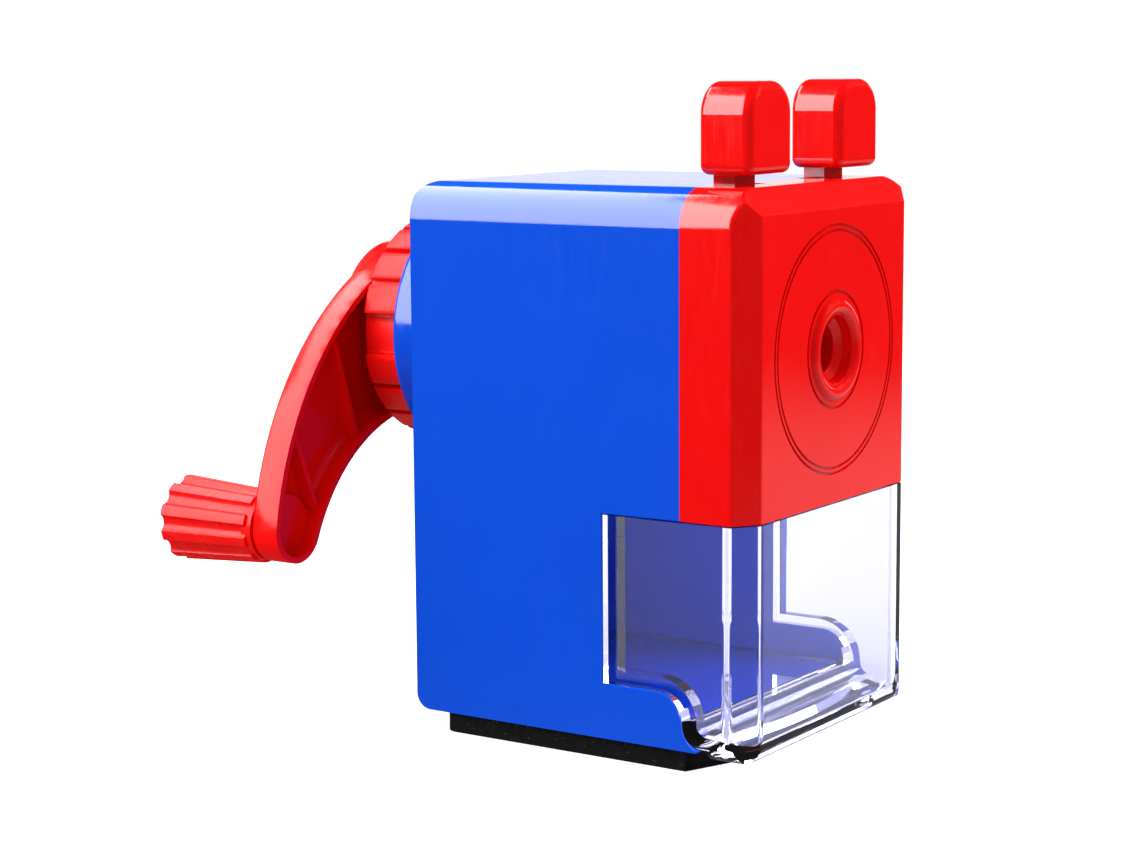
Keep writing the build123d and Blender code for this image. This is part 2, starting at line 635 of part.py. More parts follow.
GRIP_HEAD_Y = GRIP_REAR_Y - 3.6


def grip_axle():
    """Steel pin moulded into the arm's tip; its other head keeps the grip on."""
    pin = round_bar(TIP_X, TIP_Z, GRIP_PIN_R, PIN_HEAD_Y, GRIP_HEAD_Y)
    pin += round_bar(TIP_X, TIP_Z, PIN_HEAD_R, PIN_HEAD_Y, PIN_HEAD_Y + 1.0)
    return pin + round_bar(TIP_X, TIP_Z, 4.0, GRIP_HEAD_Y, GRIP_HEAD_Y + 1.2)


# ---- grip body ----
def ridge_outline(radius):
    """Fluted section: round ridges with hollows between them."""
    shape = Circle(radius)
    for i in range(GRIP_RIDGES):
        hollow = Rot(0, 0, 90 + (i + 0.5) * 360 / GRIP_RIDGES) * Pos(radius * 1.11, 0)
        shape -= hollow * Circle(radius * 0.23)
    return shape


def grip():
    """Fluted finger grip, a little wider at its free end, with a smooth collar."""
    collar_rear = GRIP_FRONT_Y + 1.2
    body = round_bar(0, 0, GRIP_ARM_R - 0.6, GRIP_FRONT_Y, collar_rear + 1)
    at_arm = Plane((0, collar_rear, 0), x_dir=(1, 0, 0), z_dir=(0, -1, 0))
    at_end = Plane((0, GRIP_REAR_Y, 0), x_dir=(1, 0, 0), z_dir=(0, -1, 0))
    body += loft([at_arm * ridge_outline(GRIP_ARM_R), at_end * ridge_outline(GRIP_R)], ruled=True)
    body -= round_bar(0, 0, GRIP_PIN_R + RUN_FIT, GRIP_FRONT_Y - 1, GRIP_REAR_Y)
    body -= round_bar(0, 0, 5.0, GRIP_HEAD_Y - 0.3, GRIP_REAR_Y + 1)
    return Pos(TIP_X, 0, TIP_Z) * body


def grip_cap():
    cap = round_bar(TIP_X, TIP_Z, 5.0 - SCREW_FIT, GRIP_HEAD_Y + 1.7, GRIP_REAR_Y)
    return chamfer(cap.edges().sort_by(Axis.Y)[-1], 0.4)


# ---- clamp front body ----
COVER_POSTS = [(x, z) for x in (-25.5, 25.5) for z in (58, 89)]
SLOT_OUTER_X = PIVOT_X + STEM_WIDTH / 2 + 0.25
SLOT_INNER_X = 9.4
EDGE_SOFT_R = 0.9


def is_soft_edge(edge):
    """The cover's outer bevels: all edges that stay clear of its bottom and rear faces."""
    box = edge.bounding_box()
    on_bottom = box.max.Z < BAY_TOP_Z + 0.1
    on_rear = box.min.Y > COVER_REAR_Y - 0.1
    return not on_bottom and not on_rear


def cover_block(inset):
    """The cover's outer shape, or its hollow when inset by the wall."""
    half = HALF - inset
    front = FRONT_Y + inset
    top = TOP_Z - inset
    plan = chamfered_plan(half, front, COVER_REAR_Y, SIDE_CHAMFER_X, SIDE_CHAMFER_Y)
    shape = along_z(plan, BAY_TOP_Z + inset, top)
    shape &= along_y(shoulder_outline(half, 0, top, SHOULDER_R - inset), front, COVER_REAR_Y)
    cut = outline((front, 0), (COVER_REAR_Y, 0), (COVER_REAR_Y, top),
                  (front + TOP_CHAMFER_Y, top), (front, top - TOP_CHAMFER_Z))
    return shape & along_x(cut, -half, half)


def front_cover():
    cover = cover_block(0)
    cover = fillet(cover.edges().filter_by(is_soft_edge), EDGE_SOFT_R)
    hollow = cover_block(WALL)
    hollow += block(-INNER_HALF + 5, INNER_HALF - 5, COVER_REAR_Y - 1, COVER_REAR_Y + 1,
                    BAY_TOP_Z + WALL, INNER_TOP_Z - 5)
    cover -= hollow
    cover += round_bar(0, AXIS_Z, 9.5, FRONT_Y + 1, JAW_FRONT_Y - 0.5)
    rim = Pos(0, FRONT_Y + 0.6, AXIS_Z) * Rot(90, 0, 0) * Torus(7.98, 1.53)
    cover += rim
    throat = [(0, FRONT_Y - 2), (6.5, FRONT_Y - 2), (6.2, FRONT_Y + 0.6), (5.9, FRONT_Y + 1.8),
              (PENCIL_HOLE_R, FRONT_Y + 3.0), (PENCIL_HOLE_R, JAW_FRONT_Y), (0, JAW_FRONT_Y)]
    cover -= on_axis(throat)
    for inner, outer in ((10.3, 10.9), (21.4, 21.9), (22.4, 22.9)):
        cover -= tube(0, AXIS_Z, outer, inner, FRONT_Y - 0.5, FRONT_Y + 0.4)
    for side in (-1, 1):
        cover += round_bar(side * PIVOT_X, PIVOT_Z, 3.2, FRONT_Y + 1, LEVER_FRONT_Y - 0.3)
        cover -= round_bar(side * PIVOT_X, PIVOT_Z, PIVOT_PIN_R + SCREW_FIT,
                           FRONT_Y + 3.2, LEVER_FRONT_Y)
        slot = sorted((side * SLOT_INNER_X, side * SLOT_OUTER_X))
        cover -= block(slot[0], slot[1], LEVER_FRONT_Y - 0.3, COVER_REAR_Y + 1,
                       INNER_TOP_Z - 1, TOP_Z + 1)
    for x, z in COVER_POSTS:
        side = math.copysign(1, x)
        wall_x = sorted((x, side * (HALF - 1)))
        cover += round_bar(x, z, 2.8, FRONT_Y + 1.5, PLATE_FRONT_Y)
        cover += block(wall_x[0], wall_x[1], FRONT_Y + SIDE_CHAMFER_Y + 1, PLATE_FRONT_Y - 1,
                       z - 1.2, z + 1.2)
        cover -= round_bar(x, z, SCREW_R + SCREW_FIT, -33, PLATE_FRONT_Y + 1)
    return cover


def clamp_plate():
    """Back plate of the clamp front; it carries the rods and the lever pins."""
    plate = along_y(shoulder_outline(INNER_HALF - 0.6, BAY_TOP_Z + WALL + 0.4,
                                     INNER_TOP_Z - 0.6, 4.6), PLATE_FRONT_Y, PLATE_REAR_Y)
    plate -= round_bar(0, AXIS_Z, 6.0, PLATE_FRONT_Y - 1, PLATE_REAR_Y + 1)
    for side in (-1, 1):
        plate -= round_bar(side * ROD_X, AXIS_Z, ROD_R + SCREW_FIT,
                           PLATE_FRONT_Y - 1, PLATE_REAR_Y + 1)
        plate -= round_bar(side * PIVOT_X, PIVOT_Z, PIVOT_PIN_R + SCREW_FIT,
                           PLATE_FRONT_Y - 1, PLATE_REAR_Y + 1)
    for x, z in COVER_POSTS:
        plate -= round_bar(x, z, SCREW_R + 0.2, PLATE_FRONT_Y - 1, PLATE_REAR_Y + 1)
    return plate


def cover_screws():
    return group(*[screw(x, z, SCREW_R, 2.3, 1.4, PLATE_REAR_Y + 1.4, -32)
                   for x, z in COVER_POSTS])


def guide_rod(side):
    rod = round_bar(side * ROD_X, AXIS_Z, ROD_R, PLATE_FRONT_Y, ROD_REAR_Y)
    rod += round_bar(side * ROD_X, AXIS_Z, 3.2, PLATE_FRONT_Y - 1.2, PLATE_FRONT_Y)
    return chamfer(rod.edges().sort_by(Axis.Y)[-1], 0.4)


def rod_clips():
    return group(*[tube(x, AXIS_Z, 4.2, ROD_R + SCREW_FIT, CLIP_Y, CLIP_Y + 0.8)
                   for x in (-ROD_X, ROD_X)])


def return_spring(side):
    """Coil on a guide rod; it pulls the clamp front back in."""
    start = GUIDE_REAR_Y + 1.3
    return coil((side * ROD_X, start, AXIS_Z), (0, 1, 0), 3.1, 0.22, CLIP_Y - start - 0.3, 16)


def pivot_pin(side):
    return round_bar(side * PIVOT_X, PIVOT_Z, PIVOT_PIN_R, FRONT_Y + 3.4, PLATE_REAR_Y)


def clamp_spring():
    """Coil between the two lever stems; it keeps the jaws shut."""
    half = PIVOT_X - STEM_WIDTH / 2 - 0.5
    middle_y = (LEVER_FRONT_Y + LEVER_REAR_Y) / 2
    return coil((-half, middle_y, 98.2), (1, 0, 0), 2.0, 0.3, 2 * half, 11)


# ---- lever bodies ----
JAW_GAP = 0.5
JAW_SEAT_X = 5.6
JAW_RIVETS = [(8.0, 70.0), (8.0, 77.4)]


def left_lever():
    """One moulding: finger knob, stem, pivot eye and jaw holder."""
    knob_h = KNOB_TOP_Z - KNOB_BOTTOM_Z
    middle = (KNOB_TOP_Z + KNOB_BOTTOM_Z) / 2
    face = Pos(-PIVOT_X, middle) * Rectangle(KNOB_WIDTH, knob_h)
    upper = face.vertices().sort_by(Axis.Y)[-2:]
    face = fillet(upper, KNOB_TOP_ROUND_R)
    lower = face.vertices().sort_by(Axis.Y)[:2]
    face = fillet(lower, KNOB_EDGE_R + 0.2)
    knob = along_y(face, KNOB_FRONT_Y, KNOB_REAR_Y)
    rims = knob.faces().sort_by(Axis.Y)[0].edges() + knob.faces().sort_by(Axis.Y)[-1].edges()
    knob = fillet(rims, KNOB_EDGE_R)
    stem = block(-PIVOT_X - STEM_WIDTH / 2, -PIVOT_X + STEM_WIDTH / 2, LEVER_FRONT_Y,
                 LEVER_REAR_Y, PIVOT_Z, KNOB_BOTTOM_Z + 2)
    holder = outline((-PIVOT_X - 5.4, PIVOT_Z), (-14.5, 66.5), (-JAW_SEAT_X, 66.5),
                     (-JAW_SEAT_X, 81.5), (-PIVOT_X + 5.4, PIVOT_Z))
    plate = along_y(holder, LEVER_FRONT_Y, LEVER_REAR_Y)
    plate += round_bar(-PIVOT_X, PIVOT_Z, 5.4, LEVER_FRONT_Y, LEVER_REAR_Y)
    lever = knob + stem + plate
    lever -= round_bar(-PIVOT_X, PIVOT_Z, PIVOT_PIN_R + RUN_FIT, LEVER_FRONT_Y - 1, LEVER_REAR_Y + 1)
    for x, z in JAW_RIVETS:
        lever -= round_bar(-x, z, 1.0 + SCREW_FIT, LEVER_FRONT_Y - 1, LEVER_REAR_Y + 1)
    return lever


def left_jaw():
    """Steel jaw with a toothed hollow that grips the pencil."""
    jaw = block(-JAW_SEAT_X, -JAW_GAP, JAW_FRONT_Y, LEVER_REAR_Y - 0.1, 67.2, 80.2)
    jaw += block(-10.4, -JAW_SEAT_X + 0.5, JAW_FRONT_Y, LEVER_FRONT_Y, 67.2, 80.2)
    jaw -= round_bar(0, AXIS_Z, 2.8, JAW_FRONT_Y - 1, LEVER_REAR_Y + 1)
    tooth_pitch = 1.5
    for i in range(5):
        z = AXIS_Z + (i - 2) * tooth_pitch
        notch = Pos(-2.75, z) * Rot(0, 0, 45) * Rectangle(0.7, 0.7)
        jaw -= along_y(notch, JAW_FRONT_Y - 1, LEVER_REAR_Y + 1)
    for x, z in JAW_RIVETS:
        jaw -= round_bar(-x, z, 1.0 + SCREW_FIT, JAW_FRONT_Y - 1, LEVER_FRONT_Y + 1)
    return jaw


def left_jaw_rivets():
    return group(*[round_bar(-x, z, 1.0, JAW_FRONT_Y, LEVER_REAR_Y - 0.1)
                   for x, z in JAW_RIVETS])


# ---- drawer body ----
DRAWER_CORNER_R = 4.5
DRAWER_FRONT_R = 3.0
DRAWER_EDGE_R = 0.8
DRAWER_INNER_HALF = INNER_HALF - 0.5
DRAWER_BOTTOM_Z = BASE_PLATE_TOP_Z + SEAM
DRAWER_STEP_Y = FRONT_Y + 7.0    # the floor slopes up from the front wall to here


def drawer_side(inset):
    """Side outline of the full-width front of the drawer, in (y, z)."""
    toe, ledge_point, toe_point = toe_edges(SEAM + inset)
    front = FRONT_Y + inset
    rear = BAY_REAR_Y - SEAM - inset
    top = BAY_TOP_Z - SEAM + inset
    low = DRAWER_LIP_Z if inset == 0 else toe_point[1]
    edges = [
        Line((front, low), (front, top)),
        Line((front, top), (rear, top)),
        Line((rear, top), (rear, ledge_point[1])),
        Line((rear, ledge_point[1]), ledge_point),
        *toe,
    ]
    if inset == 0:
        edges += [Line(toe_point, (toe_point[0], low)), Line((toe_point[0], low), (front, low))]
    else:
        edges += [Line(toe_point, (DRAWER_STEP_Y, low)),
                  Line((DRAWER_STEP_Y, low), (front, low - 1.3)),
                  Line((front, low - 1.3), (front, low))]
    return make_face(edges)


def drawer_front_block(inset):
    half = HALF - inset
    side = drawer_side(inset)
    front_low = side.vertices().sort_by(Axis.Y)[:2].sort_by(Axis.X)[0]
    side = fillet(front_low, DRAWER_FRONT_R if inset == 0 else 0.6)
    shape = along_x(side, -half, half)
    bottom = DRAWER_LIP_Z + 1.4 * inset
    across = Pos(0, (bottom + 50) / 2) * Rectangle(2 * half, 50 - bottom)
    lower = across.vertices().sort_by(Axis.Y)[:2]
    across = fillet(lower, DRAWER_CORNER_R - inset / 2)
    shape &= along_y(across, FRONT_Y, REAR_Y)
    plan = chamfered_plan(half, FRONT_Y + inset, REAR_Y, SIDE_CHAMFER_X, SIDE_CHAMFER_Y)
    corners = plan.vertices().sort_by(Axis.Y)[:4]
    plan = fillet(corners, DRAWER_EDGE_R)
    return shape & along_z(plan, 0, 50)


def drawer():
    """Clear chip drawer, full width in front and narrower inside the housing."""
    body = drawer_front_block(0)
    body -= along_z(offset(pad_outline(), 0.6), 0, FLOOR_Z + SEAM)
    top = BAY_TOP_Z - SEAM
    body += block(-DRAWER_INNER_HALF, DRAWER_INNER_HALF, TOE_ROUND_Y - 5, DRAWER_REAR_Y,
                  DRAWER_BOTTOM_Z, top)
    body -= drawer_front_block(DRAWER_WALL)
    room = DRAWER_INNER_HALF - DRAWER_WALL
    body -= block(-room, room, FRONT_Y + 5, DRAWER_REAR_Y - DRAWER_WALL,
                  DRAWER_BOTTOM_Z + DRAWER_WALL, top + 1)
    return body


NODES = {
    "main_housing": main_housing(),
    "base_plate": base_plate(),
    "base_pad": base_pad(),
    "guide_plate": guide_plate(),
    "guide_plate_screws": guide_plate_screws(),
    "rod_bushes": rod_bushes(),
    "bearing_plate": bearing_plate(),
    "bearing_plate_screws": bearing_plate_screws(),
    "front_bush": front_bush(),
    "ring_gear": ring_gear(),
    "front_cover": front_cover(),
    "clamp_plate": clamp_plate(),
    "cover_screws": cover_screws(),
    "left_guide_rod": guide_rod(-1),
    "right_guide_rod": guide_rod(1),
    "rod_clips": rod_clips(),
    "left_return_spring": return_spring(-1),
    "right_return_spring": return_spring(1),
    "left_pivot_pin": pivot_pin(-1),
    "right_pivot_pin": pivot_pin(1),
    "clamp_spring": clamp_spring(),
    "left_lever": left_lever(),
    "left_jaw": left_jaw(),
    "left_jaw_rivets": left_jaw_rivets(),
    "right_lever": mirrored(left_lever()),
    "right_jaw": mirrored(left_jaw()),
    "right_jaw_rivets": mirrored(left_jaw_rivets()),
    "drawer": drawer(),
    "retaining_ring": retaining_ring(),
    "shaft_bush": shaft_bush(),
    "cutter_carrier": cutter_carrier(),
    "cutter_axle": cutter_axle(),
    "crank_arm": crank_arm(),
    "crank_washer": crank_washer(),
    "crank_screw": crank_screw(),
    "grip_axle": grip_axle(),
    "helical_cutter": helical_cutter(),
    "cutter_pinion": cutter_pinion(),
    "grip": grip(),
    "grip_cap": grip_cap(),
}

os.makedirs("parts", exist_ok=True)
for node, solid in NODES.items():
    export_step(solid, f"parts/{node}.step")
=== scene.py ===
import bpy
import json
import math
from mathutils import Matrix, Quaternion, Vector

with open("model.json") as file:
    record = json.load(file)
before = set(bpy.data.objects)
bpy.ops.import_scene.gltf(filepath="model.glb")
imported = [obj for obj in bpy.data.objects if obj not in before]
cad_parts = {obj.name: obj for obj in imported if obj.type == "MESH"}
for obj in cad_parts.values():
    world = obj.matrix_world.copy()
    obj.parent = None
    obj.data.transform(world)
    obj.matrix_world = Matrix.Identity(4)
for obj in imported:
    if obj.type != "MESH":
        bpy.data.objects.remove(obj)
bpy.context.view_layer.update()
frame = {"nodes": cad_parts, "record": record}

MM = 0.001


# ---- camera, light and floor ----
CAMERA_AZIMUTH = math.radians(-56.2)
CAMERA_ELEVATION = math.radians(8.23)
CAMERA_ROLL = math.radians(-0.42)
CAMERA_DISTANCE = 0.4863
CAMERA_TARGET = Vector((-0.0095, 0.0157, 0.0567))
CAMERA_LENS = 80.5               # mm, on a 36 mm wide sensor
SENSOR_WIDTH = 36

LIGHT_CENTRE = Vector((0, 0, 0.05))   # the point that the soft lamps turn about
WORLD_STRENGTH = 1.04
FLOOR_REACH = 6.0
FLOOR_SHADE = (0.3, 0.3, 0.3, 1)
FLOOR_GLOW = 0.73                # keeps the pale floor even, as in an evenly lit studio
ROOM_REACH = 7.0
ROOM_FLOOR_Z = -0.5 * MM
ROOM_CEILING_Z = 6.0
ROOM_GLOW = 0.04
POOL_CENTRE = (0.2, -0.18, 0)    # the light patch in front of the object
POOL_GLOW = 0.55
POOL_INNER_R = 0.05
POOL_OUTER_R = 0.4
BOARD_Y = 0.5
BOARD_RADIANCE = 9
WALL_RADIANCE = 1.0
WHITE = (1.0, 1.0, 1.0, 1)


def direction(azimuth, elevation):
    """From the object towards a viewer; azimuth 0 stands at -Y and 90 degrees at +X."""
    return Vector((math.sin(azimuth) * math.cos(elevation),
                   -math.cos(azimuth) * math.cos(elevation), math.sin(elevation)))


def add_camera():
    data = bpy.data.cameras.new("camera")
    data.lens = CAMERA_LENS
    data.sensor_width = SENSOR_WIDTH
    data.clip_start = 0.01
    data.clip_end = 20
    camera = bpy.data.objects.new("camera", data)
    bpy.context.scene.collection.objects.link(camera)
    back = direction(CAMERA_AZIMUTH, CAMERA_ELEVATION)
    camera.location = CAMERA_TARGET + back * CAMERA_DISTANCE
    aim = (-back).to_track_quat("-Z", "Y").to_matrix().to_4x4()
    camera.rotation_mode = "QUATERNION"
    camera.rotation_quaternion = aim.to_quaternion() @ Quaternion((0, 0, 1), CAMERA_ROLL)
    bpy.context.scene.camera = camera


def add_panel(name, place, facing, width, height, power):
    """A flat rectangular lamp at a place, shining along facing."""
    data = bpy.data.lights.new(name, "AREA")
    data.shape = "RECTANGLE"
    data.size = width
    data.size_y = height
    data.energy = power
    lamp = bpy.data.objects.new(name, data)
    lamp.location = place
    lamp.rotation_mode = "QUATERNION"
    lamp.rotation_quaternion = (-Vector(facing)).to_track_quat("Z", "Y")
    lamp.visible_camera = False
    bpy.context.scene.collection.objects.link(lamp)
    return lamp


def add_fill(name, azimuth, elevation, distance, width, height, power):
    """A soft lamp that lights the object but leaves no highlight of its own."""
    away = direction(math.radians(azimuth), math.radians(elevation))
    place = LIGHT_CENTRE + away * distance
    lamp = add_panel(name, place, -away, width, height, power)
    lamp.visible_glossy = False


def add_glint(name, place, facing, width, height, radiance):
    """A bright board that shows only as a highlight on glossy faces."""
    lamp = add_panel(name, place, facing, width, height, radiance * math.pi * width * height)
    lamp.visible_diffuse = False
    lamp.visible_transmission = False


def add_bay_light():
    """The light scattered inside the clear drawer, which falls on the housing behind it."""
    lamp = add_panel("bay_light", place=(-0.02, -0.02, 0.035), facing=(0.8, 0.6, -0.1),
                     width=0.03, height=0.025, power=0.037)
    lamp.visible_glossy = False
    lamp.visible_transmission = False


def square(reach, z):
    return [(-reach, -reach, z), (reach, -reach, z), (reach, reach, z), (-reach, reach, z)]


def stage_mesh(name, corners, faces):
    mesh = bpy.data.meshes.new(name)
    mesh.from_pydata(corners, [], faces)
    thing = bpy.data.objects.new(name, mesh)
    bpy.context.scene.collection.objects.link(thing)
    return thing


def add_dark_room():
    """A dim room that only glossy faces mirror, with one light pool on its floor."""
    corners = square(ROOM_REACH, ROOM_FLOOR_Z) + square(ROOM_REACH, ROOM_CEILING_Z)
    walls = [(i, (i + 1) % 4, (i + 1) % 4 + 4, i + 4) for i in range(4)]
    room = stage_mesh("dark_room", corners, [(0, 1, 2, 3), (4, 5, 6, 7), *walls])
    for kind in ("camera", "diffuse", "transmission", "volume_scatter", "shadow"):
        setattr(room, "visible_" + kind, False)
    surface = bpy.data.materials.new("dark_room")
    surface.use_nodes = True
    tree = surface.node_tree
    tree.nodes.remove(tree.nodes["Principled BSDF"])
    place = tree.nodes.new("ShaderNodeTexCoord").outputs["Object"]
    offset = tree.nodes.new("ShaderNodeVectorMath")
    offset.operation = "DISTANCE"
    tree.links.new(place, offset.inputs[0])
    offset.inputs[1].default_value = POOL_CENTRE
    fade = tree.nodes.new("ShaderNodeMapRange")
    fade.interpolation_type = "SMOOTHSTEP"
    tree.links.new(offset.outputs["Value"], fade.inputs["Value"])
    fade.inputs["From Min"].default_value = POOL_INNER_R
    fade.inputs["From Max"].default_value = POOL_OUTER_R
    fade.inputs["To Min"].default_value = POOL_GLOW
    fade.inputs["To Max"].default_value = ROOM_GLOW
    glow = tree.nodes.new("ShaderNodeEmission")
    tree.links.new(fade.outputs["Result"], glow.inputs["Strength"])
    tree.links.new(glow.outputs["Emission"], tree.nodes["Material Output"].inputs["Surface"])
    room.data.materials.append(surface)


def add_stage():
    """An even white world and a plain pale floor."""
    world = bpy.data.worlds.new("studio")
    world.use_nodes = True
    background = world.node_tree.nodes["Background"]
    background.inputs["Color"].default_value = WHITE
    background.inputs["Strength"].default_value = WORLD_STRENGTH
    bpy.context.scene.world = world
    floor = stage_mesh("floor", square(FLOOR_REACH, 0), [(0, 1, 2, 3)])
    floor.visible_glossy = False
    floor.visible_diffuse = False
    surface = bpy.data.materials.new("floor")
    surface.use_nodes = True
    shader = surface.node_tree.nodes["Principled BSDF"]
    shader.inputs["Base Color"].default_value = FLOOR_SHADE
    shader.inputs["Roughness"].default_value = 0.8
    shader.inputs["Specular IOR Level"].default_value = 0
    shader.inputs["Emission Color"].default_value = WHITE
    shader.inputs["Emission Strength"].default_value = FLOOR_GLOW
    floor.data.materials.append(surface)


# ---- materials ----
class Shader:
    """A Principled material being built, with short calls for the nodes it needs."""

    def __init__(self, name):
        self.material = bpy.data.materials.new(name)
        self.material.use_nodes = True
        self.tree = self.material.node_tree
        self.bsdf = self.tree.nodes["Principled BSDF"]
        self.place = self.tree.nodes.new("ShaderNodeTexCoord").outputs["Object"]

    def set(self, **values):
        for key, value in values.items():
            self.bsdf.inputs[key.replace("_", " ")].default_value = value

    def node(self, kind, **inputs):
        made = self.tree.nodes.new(kind)
        for key, value in inputs.items():
            socket = made.inputs[key.replace("_", " ")]
            if isinstance(value, bpy.types.NodeSocket):
                self.tree.links.new(value, socket)
            else:
                socket.default_value = value
        return made

    def link(self, output, socket):
        self.tree.links.new(output, self.bsdf.inputs[socket])

    def stretched(self, x, y, z):
        return self.node("ShaderNodeMapping", Vector=self.place, Scale=(x, y, z)).outputs["Vector"]

    def noise(self, scale, detail=3.0, rough=0.5, vector=None):
        made = self.node("ShaderNodeTexNoise", Vector=vector or self.place, Scale=scale,
                         Detail=detail, Roughness=rough)
        return made.outputs["Fac"]

    def remap(self, value, low, high, start=0.3, end=0.7):
        made = self.node("ShaderNodeMapRange", Value=value)
        made.inputs["From Min"].default_value = start
        made.inputs["From Max"].default_value = end
        made.inputs["To Min"].default_value = low
        made.inputs["To Max"].default_value = high
        return made.outputs["Result"]

    def blend(self, factor, first, second):
        made = self.tree.nodes.new("ShaderNodeMix")
        made.data_type = "RGBA"
        self.tree.links.new(factor, made.inputs[0])
        made.inputs[6].default_value = (*first, 1)
        if isinstance(second, bpy.types.NodeSocket):
            self.tree.links.new(second, made.inputs[7])
        else:
            made.inputs[7].default_value = (*second, 1)
        return made.outputs[2]

    def pass_lamps(self):
        """Let rays from lamps through, so that what is behind clear plastic is lit."""
        path = self.tree.nodes.new("ShaderNodeLightPath")
        clear = self.tree.nodes.new("ShaderNodeBsdfTransparent")
        mix = self.tree.nodes.new("ShaderNodeMixShader")
        self.tree.links.new(path.outputs["Is Shadow Ray"], mix.inputs[0])
        self.tree.links.new(self.bsdf.outputs["BSDF"], mix.inputs[1])
        self.tree.links.new(clear.outputs["BSDF"], mix.inputs[2])
        self.tree.links.new(mix.outputs["Shader"],
                            self.tree.nodes["Material Output"].inputs["Surface"])

    def bump(self, height, strength, distance):
        made = self.node("ShaderNodeBump", Height=height, Strength=strength, Distance=distance)
        return made.outputs["Normal"]


def gloss_plastic(name, colour, deep, roughness):
    """Moulded glossy plastic: faint flow marks, orange peel and hairline scuffs."""
    s = Shader(name)
    s.link(s.blend(s.remap(s.noise(35), 0, 1), colour, deep), "Base Color")
    scuffs = s.noise(260, 6, 0.7, s.stretched(1.0, 6.0, 0.6))
    s.link(s.remap(scuffs, roughness, roughness + 0.12, 0.45, 0.8), "Roughness")
    s.link(s.bump(s.noise(420, 2), 0.012, 0.0004), "Normal")
    s.set(IOR=1.5)
    return s.material


def grained_plastic(name, colour, deep, roughness):
    """Outside plastic with a fine moulded grain that blurs highlights."""
    s = Shader(name)
    s.link(s.blend(s.remap(s.noise(35), 0, 1), colour, deep), "Base Color")
    s.link(s.remap(s.noise(300, 4), roughness, roughness + 0.1), "Roughness")
    s.link(s.bump(s.noise(1600, 3), 0.04, 0.0002), "Normal")
    s.set(Specular_IOR_Level=0.22)
    return s.material


def satin_plastic(name, colour, deep, roughness):
    """Fine spark-eroded texture of a hidden moulded part."""
    s = Shader(name)
    s.link(s.blend(s.remap(s.noise(60), 0, 1), colour, deep), "Base Color")
    s.link(s.remap(s.noise(1500), roughness, roughness + 0.15), "Roughness")
    s.link(s.bump(s.noise(2600, 4), 0.25, 0.0002), "Normal")
    return s.material


def speckled_rubber(name):
    """Black foam rubber with fine pores and a few pale specks."""
    s = Shader(name)
    specks = s.node("ShaderNodeTexVoronoi", Vector=s.place, Scale=900.0).outputs["Distance"]
    pale = s.remap(specks, 1, 0, 0.06, 0.14)
    s.link(s.blend(pale, (0.001, 0.001, 0.0012), (0.05, 0.05, 0.055)), "Base Color")
    s.set(Specular_IOR_Level=0.15)
    s.link(s.remap(s.noise(700), 0.6, 0.85), "Roughness")
    s.link(s.bump(s.noise(1800, 5), 0.5, 0.0003), "Normal")
    return s.material


def clear_plastic(name):
    """Thick clear polystyrene with a faint violet cast and slightly wavy faces."""
    s = Shader(name)
    s.link(s.blend(s.remap(s.noise(30), 0, 1), (0.80, 0.80, 1.0), (0.77, 0.77, 0.98)),
           "Base Color")
    s.link(s.remap(s.noise(500, 5), 0.0, 0.05, 0.5, 0.85), "Roughness")
    s.link(s.bump(s.noise(45, 1), 0.03, 0.002), "Normal")
    s.set(IOR=1.5, Transmission_Weight=1.0)
    s.pass_lamps()
    return s.material


def brushed_metal(name, colour, dark, roughness, grain):
    """Turned or drawn metal; grain stretches the marks along the part."""
    s = Shader(name)
    marks = s.noise(900, 5, 0.6, s.stretched(*grain))
    s.link(s.blend(s.remap(marks, 0, 1), colour, dark), "Base Color")
    s.link(s.remap(marks, roughness, roughness + 0.18), "Roughness")
    s.link(s.bump(marks, 0.12, 0.0001), "Normal")
    s.set(Metallic=1.0)
    return s.material


def cast_metal(name):
    """Pressure-cast zinc: dull grey with a pitted skin."""
    s = Shader(name)
    s.link(s.blend(s.remap(s.noise(120), 0, 1), (0.42, 0.43, 0.44), (0.3, 0.31, 0.32)),
           "Base Color")
    s.link(s.remap(s.noise(500), 0.38, 0.6), "Roughness")
    s.link(s.bump(s.noise(1400, 5), 0.35, 0.0003), "Normal")
    s.set(Metallic=0.9)
    return s.material


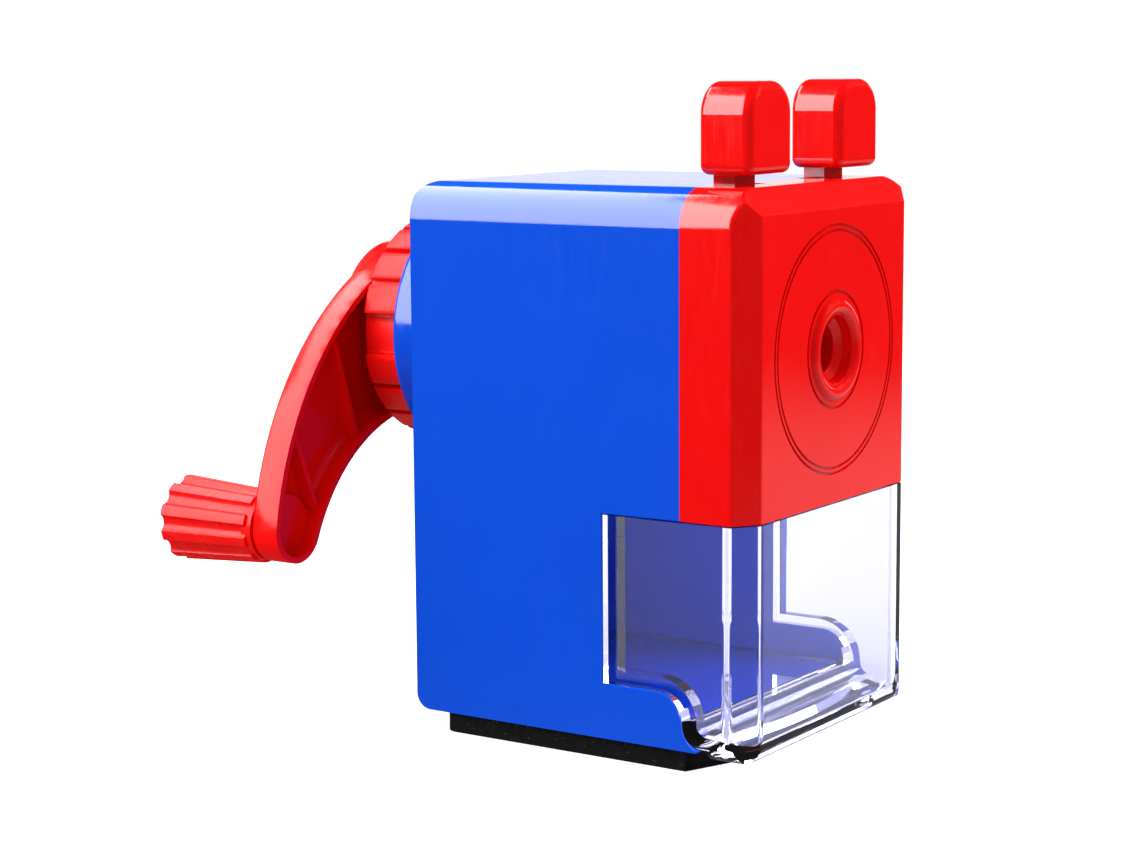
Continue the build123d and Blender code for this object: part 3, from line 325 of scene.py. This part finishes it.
ALONG_Y = (1.0, 0.08, 1.0)
ALL_WAYS = (1.0, 1.0, 1.0)
BLUE, DEEP_BLUE = (0.0014, 0.047, 0.43), (0.0014, 0.044, 0.41)
COVER_RED, DEEP_COVER_RED = (0.54, 0.0012, 0.001), (0.51, 0.001, 0.001)
# The crank parts' red is painted lighter than the cover's red. This is painted light that makes up
# for the shade these parts sit in.
LIT_CRANK_PARTS_RED, DEEP_LIT_CRANK_PARTS_RED = (0.7, 0.0014, 0.001), (0.66, 0.0012, 0.001)
BLACK, DEEP_BLACK = (0.02, 0.02, 0.022), (0.012, 0.012, 0.013)
NYLON, DEEP_NYLON = (0.78, 0.77, 0.72), (0.7, 0.69, 0.64)
SLOT_MATERIALS = {
    "blue_plastic": gloss_plastic("blue_plastic", BLUE, DEEP_BLUE, 0.08),
    "red_plastic": gloss_plastic("red_plastic", COVER_RED, DEEP_COVER_RED, 0.08),
    "black_plastic": satin_plastic("black_plastic", BLACK, DEEP_BLACK, 0.4),
    "white_nylon": satin_plastic("white_nylon", NYLON, DEEP_NYLON, 0.45),
    "black_rubber": speckled_rubber("black_rubber"),
    "clear_plastic": clear_plastic("clear_plastic"),
    "bronze": brushed_metal("bronze", (0.55, 0.36, 0.15), (0.38, 0.24, 0.1), 0.28, ALL_WAYS),
    "bright_steel": brushed_metal("bright_steel", (0.72, 0.73, 0.74), (0.55, 0.56, 0.58), 0.14,
                                  ALONG_Y),
    "spring_steel": brushed_metal("spring_steel", (0.5, 0.5, 0.52), (0.34, 0.34, 0.36), 0.22,
                                  ALL_WAYS),
    "zinc_screws": brushed_metal("zinc_screws", (0.66, 0.68, 0.7), (0.5, 0.52, 0.55), 0.24,
                                 ALL_WAYS),
    "cast_zinc": cast_metal("cast_zinc"),
    "tool_steel": brushed_metal("tool_steel", (0.3, 0.3, 0.32), (0.18, 0.18, 0.2), 0.2, ALL_WAYS),
}
# The crank arm, ring and grip take the red that is painted lighter to make up for their shade.
NODE_MATERIALS = {
    "retaining_ring": grained_plastic("red_grained_painted_lighter", LIT_CRANK_PARTS_RED, DEEP_LIT_CRANK_PARTS_RED, 0.38),
    "grip": grained_plastic("red_grip_painted_lighter", LIT_CRANK_PARTS_RED, DEEP_LIT_CRANK_PARTS_RED, 0.2),
    "crank_arm": grained_plastic("red_arm_painted_lighter", LIT_CRANK_PARTS_RED, DEEP_LIT_CRANK_PARTS_RED, 0.12),
}


def dress_nodes():
    """Give each CAD node its own finish, or that of its record slot."""
    for entry in frame["record"]["subparts"]:
        piece = frame["nodes"][entry["node"]]
        finish = NODE_MATERIALS.get(entry["node"], SLOT_MATERIALS[entry["material_slot"]])
        piece.data.materials.clear()
        piece.data.materials.append(finish)


def soften(node, width, angle=28, segments=3):
    """Round a CAD node's sharp edges with modifiers only."""
    piece = frame["nodes"][node]
    weld = piece.modifiers.new("weld", "WELD")
    weld.merge_threshold = 0.002 * MM
    bevel = piece.modifiers.new("edge_round", "BEVEL")
    bevel.width = width
    bevel.segments = segments
    bevel.limit_method = "ANGLE"
    bevel.angle_limit = math.radians(angle)
    bevel.harden_normals = True
    bevel.miter_outer = "MITER_ARC"


add_camera()
add_stage()
add_dark_room()
add_fill("overhead_softbox", azimuth=-144, elevation=52, distance=0.75,
         width=0.9, height=0.45, power=16)
add_fill("side_softbox", azimuth=55, elevation=30, distance=1.0,
         width=0.7, height=0.7, power=20)
add_bay_light()
add_glint("left_board", place=(-0.785, BOARD_Y, 0.55), facing=(0, -1, 0),
          width=0.97, height=0.82, radiance=BOARD_RADIANCE)
add_glint("high_board", place=(-0.025, BOARD_Y, 0.78), facing=(0, -1, 0),
          width=0.55, height=0.36, radiance=BOARD_RADIANCE)
add_glint("back_wall", place=(1.4, 0.95, 0.3), facing=(-0.82, -0.55, 0),
          width=3.5, height=0.6, radiance=WALL_RADIANCE)
dress_nodes()
for node in ("crank_arm", "retaining_ring", "base_pad"):
    soften(node, 0.2 * MM)
bpy.context.scene.view_settings.view_transform = "Standard"
